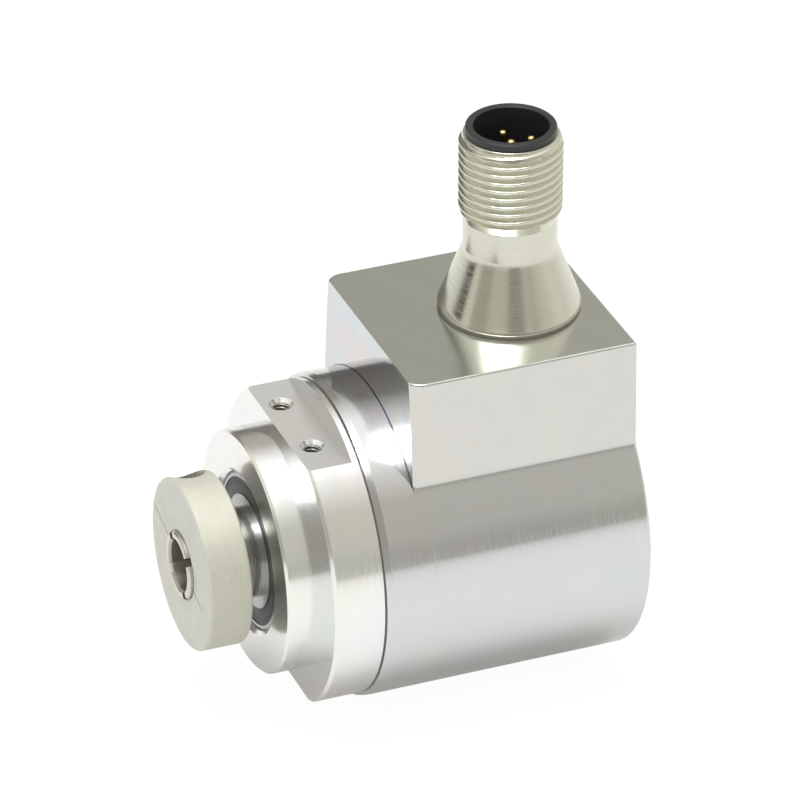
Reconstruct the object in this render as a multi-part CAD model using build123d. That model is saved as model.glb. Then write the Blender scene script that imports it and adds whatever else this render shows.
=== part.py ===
from build123d import *
from math import atan2, cos, degrees, radians, sin, tan
import os

# Absolute rotary encoder with a blind hollow shaft and clamp ring, in a turned stainless pot
# with a square connector block on top and an upright five-pin M12 plug.
# Millimetres. The shaft axis is Y, its clamp end points to -Y, and +Z points up the plug.
# The origin is where the shaft axis meets the flange's mounting face, y = 0.

# Fits between pieces
press_gap = 0.01
slip_gap = 0.02
run_gap = 0.05

# Bearing flange: pilot, mounting flange, spigot inside the housing, rear bearing hub
pilot_radius = 14.5
pilot_height = 4.2
pilot_chamfer = 0.3
flange_radius = 18.7
flange_thick = 6.0
flange_chamfer = 0.35
spigot_length = 4.0
hub_wall = 2.08
hub_lip = 1.2

# Milled flats across the flange, each with two tapped holes for a torque bracket
flat_height = 15.7
flat_length = 5.3
tap_core_radius = 1.025
tap_sink_radius = 1.45
tap_depth = 4.0
drill_point = 0.6
tap_spacing = 10.1
tap_place = 2.35

# Ball bearings, 10 x 19 x 5, sealed on both sides
bearing_bore_radius = 5.0
bearing_outer_radius = 9.5
bearing_width = 5.0
bearing_edge = 0.3
bearing_sink = 0.5
seat_mouth_chamfer = 0.45
seat_rib_height = 1.0
inner_land_share = 0.2
outer_land_share = 0.29
ball_radius = 1.0
ball_play = 0.06
ball_count = 11
cage_inner_share = 0.13
cage_outer_share = 0.22
cage_width = 2.6
seal_recess_share = 0.29
seal_thick = 0.6
seal_sink = 0.1

# Wave spring that preloads the rear bearing
spring_length = 1.3
spring_inset = 0.1
spring_width = 0.8
spring_strip = 0.3
spring_waves = 4
spring_gap_angle = 6.0
spring_points = 12

# Hollow shaft with a slotted front tube
shaft_bore_radius = 3.0
shaft_bore_depth = 16.0
shaft_bore_chamfer = 0.3
tube_radius = 4.05
tube_chamfer = 0.2
tube_proud = 0.5
tube_slot_count = 4
tube_slot_width = 1.0
tube_slot_depth = 5.2
tube_slot_angle = 35.0
collar_radius = 5.4
collar_length = 3.15
shaft_tail = 3.0
clip_thick = 1.0
clip_groove_radius = 4.7
clip_inset = 0.3
clip_gap_angle = 50.0
spacer_inset = 0.5

# Clamp ring and its screw
ring_radius = 10.25
ring_width = 5.1
ring_edge = 0.35
ring_bore_chamfer = 0.15
ring_slit_width = 0.25
ring_slit_angle = 162.0
ring_relief_radius = 7.4
screw_offset = 7.2
screw_shank_radius = 1.0
screw_head_radius = 1.9
screw_head_height = 2.0
screw_seat = 2.4
screw_pocket_gap = 0.15
screw_reach = 5.0
screw_hex = 1.5
screw_hex_depth = 1.1
screw_head_edge = 0.2

# Magnet and its holder on the shaft's rear end
tail_spigot_radius = 2.5
tail_spigot_length = 1.5
holder_radius = 5.2
holder_web = 0.6
magnet_radius = 4.0
magnet_thick = 3.0
magnet_proud = 0.2
magnet_edge = 0.2
holder_edge = 0.3

# Electronics behind the magnet
sensor_air_gap = 1.2
chip_size = 5.0
chip_thick = 1.0
board_gap = 0.8
board_thick = 1.6
board_pitch = 7.2
rear_room = 5.08
post_flats = 3.2
post_count = 3
post_start_angle = 30.0
stud_radius = 0.8
stud_length = 3.0
board_hole_gap = 0.15
board_screw_head_radius = 1.5
board_screw_head_height = 1.3
board_screw_edge = 0.4
cross_length = 1.5
cross_width = 0.35
cross_depth = 0.6
processor_size = 7.0
lead_count = 4
lead_width = 0.4
lead_reach = 0.6
lead_thick = 0.2
link_width = 12.7
link_height = 2.5
link_place = -8.5
wire_plug_width = 11.0
wire_plug_height = 5.0
wire_plug_thick = 3.2
wire_plug_place = 8.5
wire_plug_depth = 2.0

# Housing: pot and connector block in one piece
seam_width = 0.15
housing_radius = 19.2
housing_wall = 1.78
housing_rear = 38.9
housing_rear_wall = 1.4
housing_rear_edge = 0.45
housing_lead_length = 0.8
housing_lead_depth = 0.12
block_half_width = 13.8
block_front = 11.2
block_face_cut = 0.22
block_top = 26.3
block_draft = 1.7
block_corner = 2.06
block_foot_corner = 0.1
block_edge = 0.25
block_foot_radius = 2.1
wire_hole_radius = 4.2

# O-ring between the flange's spigot and the pot
o_ring_section = 0.55
o_ring_groove_width = 1.5
o_ring_land = 1.2

# M12 plug
plug_inset = 10.2
plug_spigot_radius = 5.8
plug_spigot_length = 6.0
gasket_thick = 0.3
gasket_inset = 0.2
plug_foot_radius = 8.35
plug_foot_height = 0.4
plug_cone_height = 7.3
plug_neck_radius = 5.46
plug_neck_length = 3.8
thread_runout = 1.4
thread_radius = 6.0
thread_length = 8.3
thread_chamfer = 1.0
thread_end_radius = 5.45
insert_radius = 4.8
insert_collar_radius = 5.24
insert_collar_height = 0.9
insert_collar_bevel = 0.15
insert_cup_radius = 4.35
insert_cup_depth = 8.7
insert_floor_thick = 5.0
wire_room_radius = 4.1
key_angle = 62.0
key_width = 0.9
key_height = 0.45
key_sink = 1.0
key_root = 0.2
pin_radius = 0.5
pin_circle_radius = 2.5
pin_sink = 2.0
pin_tail = 1.6
pin_tail_radius = 0.7
wire_radius = 0.45
wire_row_pitch = 2.0
wire_bend_radius = 3.0
wire_bend_drop = 3.0

# Radii that follow from the sizes above
spigot_radius = housing_radius - housing_wall - slip_gap
hub_radius = bearing_outer_radius + slip_gap + hub_wall
board_radius = spigot_radius - board_gap
post_circle_radius = (spigot_radius + hub_radius) / 2
board_hole_radius = stud_radius + board_hole_gap
pitch_radius = (bearing_bore_radius + bearing_outer_radius) / 2
bearing_section = (bearing_outer_radius - bearing_bore_radius) / 2
inner_land_radius = pitch_radius - bearing_section * inner_land_share
outer_land_radius = pitch_radius + bearing_section * outer_land_share
cage_inner_radius = pitch_radius - bearing_section * cage_inner_share
cage_outer_radius = pitch_radius + bearing_section * cage_outer_share
seal_recess_radius = bearing_outer_radius - bearing_section * seal_recess_share
seat_rib_radius = bearing_outer_radius - seat_rib_height
spring_outer_radius = bearing_outer_radius - spring_inset
spring_inner_radius = spring_outer_radius - spring_width
spacer_outer_radius = inner_land_radius - spacer_inset
clip_radius = inner_land_radius - clip_inset

# Places along the shaft axis, the inner ones counted forward from the pot's rear
logic_board_rear = housing_rear - housing_rear_wall - rear_room
logic_board_front = logic_board_rear - board_thick
sensor_board_front = logic_board_front - board_pitch
sensor_board_rear = sensor_board_front + board_thick
magnet_face = sensor_board_front - chip_thick - sensor_air_gap
magnet_floor = magnet_face - magnet_thick
shaft_end = magnet_floor - holder_web - slip_gap - tail_spigot_length
clip_place = shaft_end - shaft_tail
rear_bearing = clip_place - bearing_width
spring_place = rear_bearing - spring_length
hub_end = clip_place + hub_lip
plug_place = housing_rear - plug_inset
pilot_face = -pilot_height
front_bearing = pilot_face + bearing_sink
front_shoulder = front_bearing + bearing_width
spigot_end = flange_thick + spigot_length
housing_front = flange_thick + seam_width
ring_rear = front_bearing - collar_length
ring_front = ring_rear - ring_width
ring_middle = (ring_rear + ring_front) / 2
tube_front = ring_front - tube_proud

# Heights up the plug's axis
gasket_top = block_top + gasket_thick
cone_base = gasket_top + plug_foot_height
cone_top = cone_base + plug_cone_height
neck_top = cone_top + plug_neck_length
thread_start = neck_top + thread_runout
thread_end = thread_start + thread_length
plug_rim = thread_end + thread_chamfer
insert_top = plug_rim + insert_collar_height
cup_floor = insert_top - insert_cup_depth
insert_bottom = cup_floor - insert_floor_thick
pin_tip = insert_top - pin_sink


# Solid turned about the shaft axis, from the (radius, y) corners of half its section.
def turned(*corners):
    return revolve(Polygon(*corners, align=None), Axis.Y, 360)


# Solid turned about the plug's upright axis, from (radius, z) corners.
def turned_upright(*corners):
    section = Plane.XZ * Polygon(*corners, align=None)
    return Pos(0, plug_place, 0) * revolve(section, Axis.Z, 360)


# Straight round bar along the shaft axis, centred at (x, z) and running from y0 to y1.
def bar(radius, y0, y1, x=0.0, z=0.0):
    side = Plane((x, y0, z), x_dir=(1, 0, 0), z_dir=(0, 1, 0))
    return side * extrude(Circle(radius), y1 - y0)


# Upright round bar centred at (x, y) and running from z0 to z1.
def upright(radius, z0, z1, x=0.0, y=0.0):
    return Pos(x, y, z0) * extrude(Circle(radius), z1 - z0)


# Hexagon bar along the shaft axis, given across its flats.
def hex_bar(flats, y0, y1, x=0.0, z=0.0):
    side = Plane((x, y0, z), x_dir=(1, 0, 0), z_dir=(0, 1, 0))
    return side * extrude(RegularPolygon(flats / 2, 6, major_radius=False), y1 - y0)


# Block with its low and high corners given.
def block(low, high):
    size = [b - a for a, b in zip(low, high)]
    middle = [(a + b) / 2 for a, b in zip(low, high)]
    return Pos(*middle) * Box(*size)


# Point on a circle about the shaft axis, at an angle from +X towards +Z.
def around(radius, angle):
    return radius * cos(radians(angle)), radius * sin(radians(angle))


# Centres of the board posts, in (x, z).
def post_places():
    step = 360 / post_count
    return [around(post_circle_radius, post_start_angle + step * i) for i in range(post_count)]


# Flange, pilot, spigot and rear hub in one turned piece, with the two milled flats.
def make_bearing_flange():
    seat = bearing_outer_radius + slip_gap
    groove_floor = spigot_radius - 2 * o_ring_section
    groove_start = housing_front + o_ring_land
    groove_end = groove_start + o_ring_groove_width
    body = turned(
        (seat + seat_mouth_chamfer, pilot_face),
        (pilot_radius - pilot_chamfer, pilot_face),
        (pilot_radius, pilot_face + pilot_chamfer),
        (pilot_radius, 0),
        (flange_radius - flange_chamfer, 0),
        (flange_radius, flange_chamfer),
        (flange_radius, flange_thick),
        (spigot_radius, flange_thick),
        (spigot_radius, groove_start),
        (groove_floor, groove_start),
        (groove_floor, groove_end),
        (spigot_radius, groove_end),
        (spigot_radius, spigot_end),
        (hub_radius, spigot_end),
        (hub_radius, hub_end),
        (seat, hub_end),
        (seat, spring_place),
        (seat_rib_radius, spring_place),
        (seat_rib_radius, front_shoulder),
        (seat, front_shoulder),
        (seat, pilot_face + seat_mouth_chamfer),
    )
    for side in (1, -1):
        body -= flat_cut(side)
        for x in (-tap_spacing / 2, tap_spacing / 2):
            body -= tapped_hole(x, side)
    for x, z in post_places():
        body -= bar(stud_radius + slip_gap, spigot_end - stud_length - slip_gap, spigot_end, x, z)
    return body


# Milled step on the flange's rim, open to the front, with side 1 up and -1 down.
def flat_cut(side):
    reach = 2 * flange_radius
    heights = sorted((side * flat_height, side * reach))
    return block((-reach, -reach + flat_length, heights[0]), (reach, flat_length, heights[1]))


# Core hole and countersink of one tapped hole, drilled from a flat towards the shaft.
def tapped_hole(x, side):
    sink = tap_sink_radius - tap_core_radius
    core = upright(tap_core_radius, flat_height - tap_depth, flat_height, x, tap_place)
    mouth = Pos(x, tap_place, flat_height - sink / 2) * Cone(tap_core_radius, tap_sink_radius, sink)
    depth = drill_point * tap_core_radius
    point = Pos(x, tap_place, flat_height - tap_depth - depth / 2) * Cone(0, tap_core_radius, depth)
    hole = core + mouth + point
    if side < 0:
        hole = mirror(hole, Plane.XY)
    return hole


# Ring of rectangular section with bevelled edges at one of its radii.
def bevelled_ring(inner, outer, y0, y1, bevel_inside):
    a = y0 + bearing_edge
    b = y1 - bearing_edge
    if bevel_inside:
        corner = inner + bearing_edge
        return turned((corner, y0), (outer, y0), (outer, y1), (corner, y1), (inner, b), (inner, a))
    corner = outer - bearing_edge
    return turned((inner, y0), (corner, y0), (outer, a), (outer, b), (corner, y1), (inner, y1))


# Ring-shaped raceway cutter on the ball's pitch circle.
def raceway(y0):
    middle = y0 + bearing_width / 2
    ring = Torus(pitch_radius, ball_radius + ball_play)
    return Pos(0, middle, 0) * (Rot(90, 0, 0) * ring)


def make_inner_ring(y0):
    ring = bevelled_ring(bearing_bore_radius, inner_land_radius, y0, y0 + bearing_width, True)
    return ring - raceway(y0)


# Outer ring, with a recess at each face for its seal.
def make_outer_ring(y0):
    y1 = y0 + bearing_width
    depth = seal_sink + seal_thick + press_gap
    ring = bevelled_ring(outer_land_radius, bearing_outer_radius, y0, y1, False)
    ring -= bar(seal_recess_radius, y0, y0 + depth)
    ring -= bar(seal_recess_radius, y1 - depth, y1)
    return ring - raceway(y0)


# Two rubber seals of one bearing, held in the outer ring and clear of the inner one.
def make_seals(y0):
    outer = seal_recess_radius - press_gap
    inner = inner_land_radius + run_gap
    front = y0 + seal_sink
    rear = y0 + bearing_width - seal_sink
    pieces = []
    for face, step in ((front, seal_thick), (rear, -seal_thick)):
        low, high = sorted((face, face + step))
        pieces.append(bar(outer, low, high) - bar(inner, low, high))
    return pieces


def make_balls(y0):
    middle = y0 + bearing_width / 2
    balls = []
    for i in range(ball_count):
        x, z = around(pitch_radius, 360 / ball_count * i)
        balls.append(Pos(x, middle, z) * Sphere(ball_radius))
    return balls


# Cage ring with one round pocket for each ball.
def make_cage(y0):
    middle = y0 + bearing_width / 2
    y_low = middle - cage_width / 2
    y_high = middle + cage_width / 2
    cage = bar(cage_outer_radius, y_low, y_high) - bar(cage_inner_radius, y_low, y_high)
    for i in range(ball_count):
        x, z = around(pitch_radius, 360 / ball_count * i)
        out = Plane((x, middle, z), z_dir=(x, 0, z))
        pocket = extrude(Circle(ball_radius + ball_play), ball_radius, both=True)
        cage -= out * pocket
    return cage


# Open wavy spring strip between the flange's rib and the rear bearing's outer ring.
def make_wave_spring():
    inner_edge = Spline(*wave_points(spring_inner_radius))
    outer_edge = Spline(*wave_points(spring_outer_radius))
    face = Face.make_surface_from_curves(inner_edge, outer_edge)
    return Solid.extrude(face, Vector(0, spring_strip, 0))


# Points of the spring strip's front edge at one radius.
def wave_points(radius):
    middle = spring_place + (spring_length - spring_strip) / 2
    swing = (spring_length - spring_strip) / 2 - slip_gap
    steps = spring_points * spring_waves
    points = []
    for i in range(steps + 1):
        angle = spring_gap_angle / 2 + (360 - spring_gap_angle) / steps * i
        x, z = around(radius, angle)
        points.append((x, middle + swing * cos(radians(angle * spring_waves)), z))
    return points


# O-ring in the spigot's groove.
def make_housing_o_ring():
    section = o_ring_section - slip_gap
    middle = housing_front + o_ring_land + o_ring_groove_width / 2
    centre = spigot_radius - o_ring_section
    return Pos(0, middle, 0) * (Rot(90, 0, 0) * Torus(centre, section))


# Shaft with its slotted clamping tube, collar, clip groove and rear spigot.
def make_hollow_shaft():
    seat = bearing_bore_radius - press_gap
    floor = tube_front + shaft_bore_depth
    tip = floor + drill_point * shaft_bore_radius
    shaft = turned(
        (shaft_bore_radius + shaft_bore_chamfer, tube_front),
        (tube_radius - tube_chamfer, tube_front),
        (tube_radius, tube_front + tube_chamfer),
        (tube_radius, ring_rear),
        (collar_radius, ring_rear),
        (collar_radius, front_bearing),
        (seat, front_bearing),
        (seat, clip_place),
        (clip_groove_radius, clip_place),
        (clip_groove_radius, clip_place + clip_thick + slip_gap),
        (seat, clip_place + clip_thick + slip_gap),
        (seat, shaft_end),
        (tail_spigot_radius, shaft_end),
        (tail_spigot_radius, shaft_end + tail_spigot_length),
        (0, shaft_end + tail_spigot_length),
        (0, tip),
        (shaft_bore_radius, floor),
        (shaft_bore_radius, tube_front + shaft_bore_chamfer),
    )
    for i in range(tube_slot_count):
        angle = tube_slot_angle + 360 / tube_slot_count * i
        half = tube_slot_width / 2
        slot = block((0, tube_front, -half), (collar_radius, tube_front + tube_slot_depth, half))
        shaft -= Rot(0, -angle, 0) * slot
    return shaft


# Plane on the clamp screw's axis, where it crosses the ring's slit.
def screw_plane():
    x, z = around(screw_offset, ring_slit_angle)
    ux, uz = around(1.0, ring_slit_angle - 90)
    return Plane((x, ring_middle, z), x_dir=(0, 1, 0), z_dir=(ux, 0, uz))


# Clamp ring, split on one side, part split on the other, bored across for its screw.
def make_clamp_ring():
    bore = tube_radius + slip_gap
    ring = bar(ring_radius, ring_front, ring_rear)
    ring = fillet(ring.edges().filter_by(GeomType.CIRCLE), ring_edge)
    ring -= bar(bore, ring_front, ring_rear)
    mouth = turned(
        (0, ring_front),
        (bore + ring_bore_chamfer, ring_front),
        (bore, ring_front + ring_bore_chamfer),
        (0, ring_front + ring_bore_chamfer),
    )
    ring -= mouth
    half = ring_slit_width / 2
    slit = block((0, ring_front, -half), (2 * ring_radius, ring_rear, half))
    relief = block((0, ring_front, -half), (ring_relief_radius, ring_rear, half))
    ring -= Rot(0, -ring_slit_angle, 0) * slit
    ring -= Rot(0, 180 - ring_slit_angle, 0) * relief
    here = screw_plane()
    pocket_radius = screw_head_radius + screw_pocket_gap
    ring -= here * (Pos(0, 0, screw_seat) * extrude(Circle(pocket_radius), ring_radius))
    ring -= here * extrude(Circle(screw_shank_radius + 2 * run_gap), screw_seat)
    thread = screw_reach + screw_shank_radius / 2
    ring -= here * extrude(Circle(screw_shank_radius + press_gap), -thread)
    return ring


# Socket-head screw that closes the clamp ring.
def make_clamp_screw():
    shank = Pos(0, 0, -screw_reach) * extrude(Circle(screw_shank_radius), screw_reach + screw_seat)
    head = Pos(0, 0, screw_seat) * extrude(Circle(screw_head_radius), screw_head_height)
    head = chamfer(head.edges().sort_by(Axis.Z)[-1], screw_head_edge)
    top = screw_seat + screw_head_height
    socket = RegularPolygon(screw_hex / 2, 6, major_radius=False)
    screw = shank + head - Pos(0, 0, top) * extrude(socket, -screw_hex_depth)
    return screw_plane() * screw


def make_inner_spacer():
    inner = bearing_bore_radius
    start = front_bearing + bearing_width
    return bar(spacer_outer_radius, start, rear_bearing) - bar(inner, start, rear_bearing)


# Open retaining ring in the shaft's groove, with two eyes at its gap.
def make_shaft_clip():
    y0 = clip_place
    y1 = clip_place + clip_thick
    eye_radius = (clip_radius - bearing_bore_radius) / 2
    eye_place = clip_radius - eye_radius
    clip = bar(clip_radius - eye_radius / 2, y0, y1)
    for side in (-1, 1):
        x, z = around(eye_place, side * clip_gap_angle / 2)
        clip += bar(eye_radius, y0, y1, x, z)
    clip -= bar(clip_groove_radius + press_gap, y0, y1)
    half = clip_gap_angle / 2
    far = around(2 * clip_radius, half - eye_wrap())
    wedge = Polygon((0, 0), (far[0], -far[1]), (far[0], far[1]), align=None)
    gap = Plane((0, y0, 0), x_dir=(1, 0, 0), z_dir=(0, 1, 0)) * extrude(wedge, clip_thick)
    clip -= gap
    for side in (-1, 1):
        x, z = around(eye_place, side * half)
        clip -= bar(eye_radius / 2, y0, y1, x, z)
    return clip


# Half the angle that one eye of the retaining ring takes up.
def eye_wrap():
    eye_radius = (clip_radius - bearing_bore_radius) / 2
    return degrees(atan2(eye_radius, clip_radius - eye_radius))


# Cup that carries the magnet, pressed on the shaft's rear spigot.
def make_magnet_holder():
    y1 = magnet_face - magnet_proud
    holder = bar(holder_radius, shaft_end, y1)
    holder = chamfer(holder.edges().sort_by(Axis.Y)[-1], holder_edge)
    holder -= bar(tail_spigot_radius + press_gap, shaft_end, shaft_end + tail_spigot_length + slip_gap)
    holder -= bar(magnet_radius + press_gap, magnet_floor, y1)
    return holder


def make_magnet():
    magnet = bar(magnet_radius, magnet_floor, magnet_face)
    return chamfer(magnet.edges().sort_by(Axis.Y)[-1], magnet_edge)


# Hexagon posts screwed into the flange, which carry the sensor board.
def make_board_posts():
    posts = []
    for x, z in post_places():
        post = hex_bar(post_flats, spigot_end, sensor_board_front, x, z)
        post += bar(stud_radius, spigot_end - stud_length, spigot_end, x, z)
        depth = sensor_board_front - stud_length - slip_gap
        post -= bar(stud_radius + press_gap, depth, sensor_board_front, x, z)
        posts.append(post)
    return posts


# Second set of posts between the two boards.
def make_board_spacers():
    posts = []
    for x, z in post_places():
        post = hex_bar(post_flats, sensor_board_rear, logic_board_front, x, z)
        post += bar(stud_radius, sensor_board_front - stud_length, sensor_board_rear, x, z)
        depth = logic_board_front - stud_length - slip_gap
        post -= bar(stud_radius + press_gap, depth, logic_board_front, x, z)
        posts.append(post)
    return posts


# Cross-recessed screws that hold the rear board.
def make_board_screws():
    screws = []
    y1 = logic_board_rear + board_screw_head_height
    for x, z in post_places():
        screw = bar(board_screw_head_radius, logic_board_rear, y1, x, z)
        screw = fillet(screw.edges().sort_by(Axis.Y)[-1], board_screw_edge)
        screw += bar(stud_radius, logic_board_front - stud_length, logic_board_rear, x, z)
        for wide, high in ((cross_length, cross_width), (cross_width, cross_length)):
            low = (x - wide / 2, y1 - cross_depth, z - high / 2)
            screw -= block(low, (x + wide / 2, y1, z + high / 2))
        screws.append(screw)
    return screws


# Round circuit board with its screw holes.
def make_board(y0):
    board = bar(board_radius, y0, y0 + board_thick)
    for x, z in post_places():
        board -= bar(board_hole_radius, y0, y0 + board_thick, x, z)
    return board


# Position sensor chip facing the magnet, with its leads.
def make_sensor_chip():
    return chip(chip_size, sensor_board_front, -1)


# Processor on the rear board.
def make_processor():
    return chip(processor_size, logic_board_rear, 1)


# Moulded chip body on a board face, facing the rear for 1 and the front for -1, with its leads.
def chip(size, face, direction):
    half = size / 2
    foot = face + lead_thick * direction
    middle = face + lead_thick / 2 * direction
    body = block_between(-half, half, middle, face + chip_thick * direction, -half, half)
    for i in range(lead_count):
        low = size / lead_count * (i + 0.5) - half - lead_width / 2
        for side in (-1, 1):
            near = side * (half - lead_width)
            far = side * (half + lead_reach)
            body += block_between(near, far, face, foot, low, low + lead_width)
    return body


# Block between two values on each axis, in any order.
def block_between(x0, x1, y0, y1, z0, z1):
    low = (min(x0, x1), min(y0, y1), min(z0, z1))
    high = (max(x0, x1), max(y0, y1), max(z0, z1))
    return block(low, high)


# Stacking connector between the boards.
def make_board_link():
    low = (-link_width / 2, sensor_board_rear, link_place - link_height / 2)
    high = (link_width / 2, logic_board_front, link_place + link_height / 2)
    return block(low, high)


# Wire connector on the front of the rear board, with one way for each wire.
def make_wire_plug():
    y0 = logic_board_front - wire_plug_thick
    low = (-wire_plug_width / 2, y0, wire_plug_place - wire_plug_height / 2)
    high = (wire_plug_width / 2, logic_board_front, wire_plug_place + wire_plug_height / 2)
    plug = block(low, high)
    for x, y in wire_ends():
        plug -= upright(wire_radius + slip_gap, high[2] - wire_plug_depth, high[2], x, y)
    return plug


# Lower ends of the wires, in a row along X.
def wire_ends():
    middle = (len(pin_places()) - 1) / 2
    y = logic_board_front - wire_plug_thick / 2
    return [(wire_row_pitch * (i - middle), y) for i in range(len(pin_places()))]


# Contact places about the plug's axis: four on a circle and one in the middle.
def pin_places():
    places = []
    for angle in (180, 270, 0, 90):
        x, y = around(pin_circle_radius, angle)
        places.append((x, plug_place + y))
    places.insert(2, (0.0, plug_place))
    return places


# Insulated wires from the contacts down to the wire connector.
def make_wires():
    top = insert_bottom - pin_tail
    bottom = wire_plug_place + wire_plug_height / 2 - wire_plug_depth + slip_gap
    upper_bend = top - wire_bend_drop
    lower_bend = wire_plug_place + wire_plug_height / 2 + wire_bend_drop
    wires = []
    for (x0, y0), (x1, y1) in zip(pin_places(), wire_ends()):
        corners = ((x0, y0, top), (x0, y0, upper_bend), (x1, y1, lower_bend), (x1, y1, bottom))
        path = FilletPolyline(*corners, radius=wire_bend_radius)
        section = Plane((x0, y0, top), z_dir=(0, 0, -1)) * Circle(wire_radius)
        wires.append(sweep(section, path=path))
    return wires


# Pot with the drafted block on top, blended at its foot, faced in front as the pot is turned,
# and bored for the flange and the plug.
def make_housing():
    reach = 2 * housing_radius
    inner = spigot_radius + slip_gap
    spigot_floor = block_top - plug_spigot_length - slip_gap
    body = bar(housing_radius, housing_front, housing_rear) + drafted_block(reach)
    body -= block((-reach, housing_rear, -reach), (reach, 2 * reach, reach))
    body = fillet([edge for edge in body.edges() if runs_on_pot(edge)], block_foot_radius)
    body = fillet(body.faces().sort_by(Axis.Y)[-1].outer_wire().edges(), housing_rear_edge)
    body -= bar(reach, housing_front, block_front) - bar(housing_radius, housing_front, block_front)
    body -= lead_cut()
    body -= bar(inner, housing_front, housing_rear - housing_rear_wall)
    body -= upright(wire_hole_radius, 0, block_top, 0, plug_place)
    body -= upright(plug_spigot_radius + slip_gap, spigot_floor, block_top, 0, plug_place)
    return body


# Connector block down to the shaft axis, running past the pot's rear. It is wider towards its
# foot, where its corners are sharper.
def drafted_block(length):
    spread = block_top * tan(radians(block_draft))
    foot = block_outline(length, 0, block_foot_corner, spread)
    top = block_outline(length, block_top, block_corner, 0)
    body = loft([foot, top], ruled=True)
    return fillet(body.faces().sort_by(Axis.Z)[-1].edges(), block_edge)


# Rounded outline of the block at a height, spread outwards from its size at the top.
def block_outline(length, height, corner, spread):
    front = block_front - block_face_cut - spread
    middle = Pos(0, front + length / 2 + spread, height)
    return middle * RectangleRounded(2 * (block_half_width + spread), length + 2 * spread, corner)


# True for an edge where the block's sides or front meet the pot's round wall.
def runs_on_pot(edge):
    middle = edge @ 0.5
    if middle.Z < 0 or not housing_front < middle.Y < housing_rear:
        return False
    points = [edge @ share for share in (0, 0.3, 0.7, 1)]
    return all(abs(Vector(p.X, 0, p.Z).length - housing_radius) < press_gap for p in points)


# Slight taper turned on the pot's front edge.
def lead_cut():
    return turned(
        (housing_radius - housing_lead_depth, housing_front),
        (2 * housing_radius, housing_front),
        (2 * housing_radius, housing_front + housing_lead_length),
        (housing_radius, housing_front + housing_lead_length),
    )


# Flat gasket between the block and the plug's foot.
def make_gasket():
    outer = plug_foot_radius - gasket_inset
    ring = upright(outer, block_top, gasket_top, 0, plug_place)
    return ring - upright(plug_spigot_radius + slip_gap, block_top, gasket_top, 0, plug_place)


# Plug body: screwed-in spigot, conical foot, neck and M12 thread envelope.
def make_plug_body():
    bottom = block_top - plug_spigot_length
    return turned_upright(
        (wire_room_radius, bottom),
        (plug_spigot_radius, bottom),
        (plug_spigot_radius, gasket_top),
        (plug_foot_radius, gasket_top),
        (plug_foot_radius, cone_base),
        (plug_neck_radius, cone_top),
        (plug_neck_radius, neck_top),
        (thread_radius, thread_start),
        (thread_radius, thread_end),
        (thread_end_radius, plug_rim),
        (insert_radius + press_gap, plug_rim),
        (insert_radius + press_gap, insert_bottom),
        (wire_room_radius, insert_bottom),
    )


# Moulded contact carrier: collar, open cup with its coding key, and a floor with five holes.
def make_insert():
    bevel = insert_collar_bevel
    insert = turned_upright(
        (0, insert_bottom),
        (insert_radius, insert_bottom),
        (insert_radius, plug_rim),
        (insert_collar_radius, plug_rim),
        (insert_collar_radius, insert_top - bevel),
        (insert_collar_radius - bevel, insert_top),
        (insert_cup_radius + bevel, insert_top),
        (insert_cup_radius, insert_top - bevel),
        (insert_cup_radius, cup_floor),
        (0, cup_floor),
    )
    low = (insert_cup_radius - key_height, -key_width / 2, cup_floor)
    high = (insert_cup_radius + key_root, key_width / 2, insert_top - key_sink)
    insert += Pos(0, plug_place, 0) * (Rot(0, 0, key_angle) * block(low, high))
    for x, y in pin_places():
        insert -= upright(pin_radius + press_gap, insert_bottom, cup_floor, x, y)
    return insert


# Round-ended contact pins with a wider solder cup below the carrier.
def make_contacts():
    pins = []
    for x, y in pin_places():
        pin = upright(pin_radius, insert_bottom, pin_tip, x, y)
        pin = fillet(pin.edges().sort_by(Axis.Z)[-1], 0.8 * pin_radius)
        pin += upright(pin_tail_radius, insert_bottom - pin_tail, insert_bottom, x, y)
        pins.append(pin)
    return pins


# Write one node, a single solid or a group of separate ones.
def save(name, shape):
    if isinstance(shape, list):
        shape = Compound([piece.solid() for piece in shape])
    export_step(shape, f"parts/{name}.step")


os.makedirs("parts", exist_ok=True)

save("housing", make_housing())
save("bearing_flange", make_bearing_flange())
save("housing_o_ring", make_housing_o_ring())
save("bearing_spring", make_wave_spring())
for place, y_start in (("front", front_bearing), ("rear", rear_bearing)):
    save(f"{place}_outer_ring", make_outer_ring(y_start))
    save(f"{place}_inner_ring", make_inner_ring(y_start))
    save(f"{place}_bearing_seals", make_seals(y_start))
    save(f"{place}_balls", make_balls(y_start))
    save(f"{place}_ball_cage", make_cage(y_start))

save("hollow_shaft", make_hollow_shaft())
save("clamp_ring", make_clamp_ring())
save("clamp_screw", make_clamp_screw())
save("inner_spacer", make_inner_spacer())
save("shaft_clip", make_shaft_clip())
save("magnet_holder", make_magnet_holder())
save("magnet", make_magnet())

save("board_posts", make_board_posts())
save("sensor_board", make_board(sensor_board_front))
save("sensor_chip", make_sensor_chip())
save("board_spacers", make_board_spacers())
save("logic_board", make_board(logic_board_front))
save("processor", make_processor())
save("board_screws", make_board_screws())
save("board_link", make_board_link())
save("wire_connector", make_wire_plug())
save("plug_wires", make_wires())

save("plug_gasket", make_gasket())
save("plug_body", make_plug_body())
save("plug_insert", make_insert())
save("plug_contacts", make_contacts())
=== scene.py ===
import bpy
import numpy as np
from mathutils import Matrix


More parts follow.
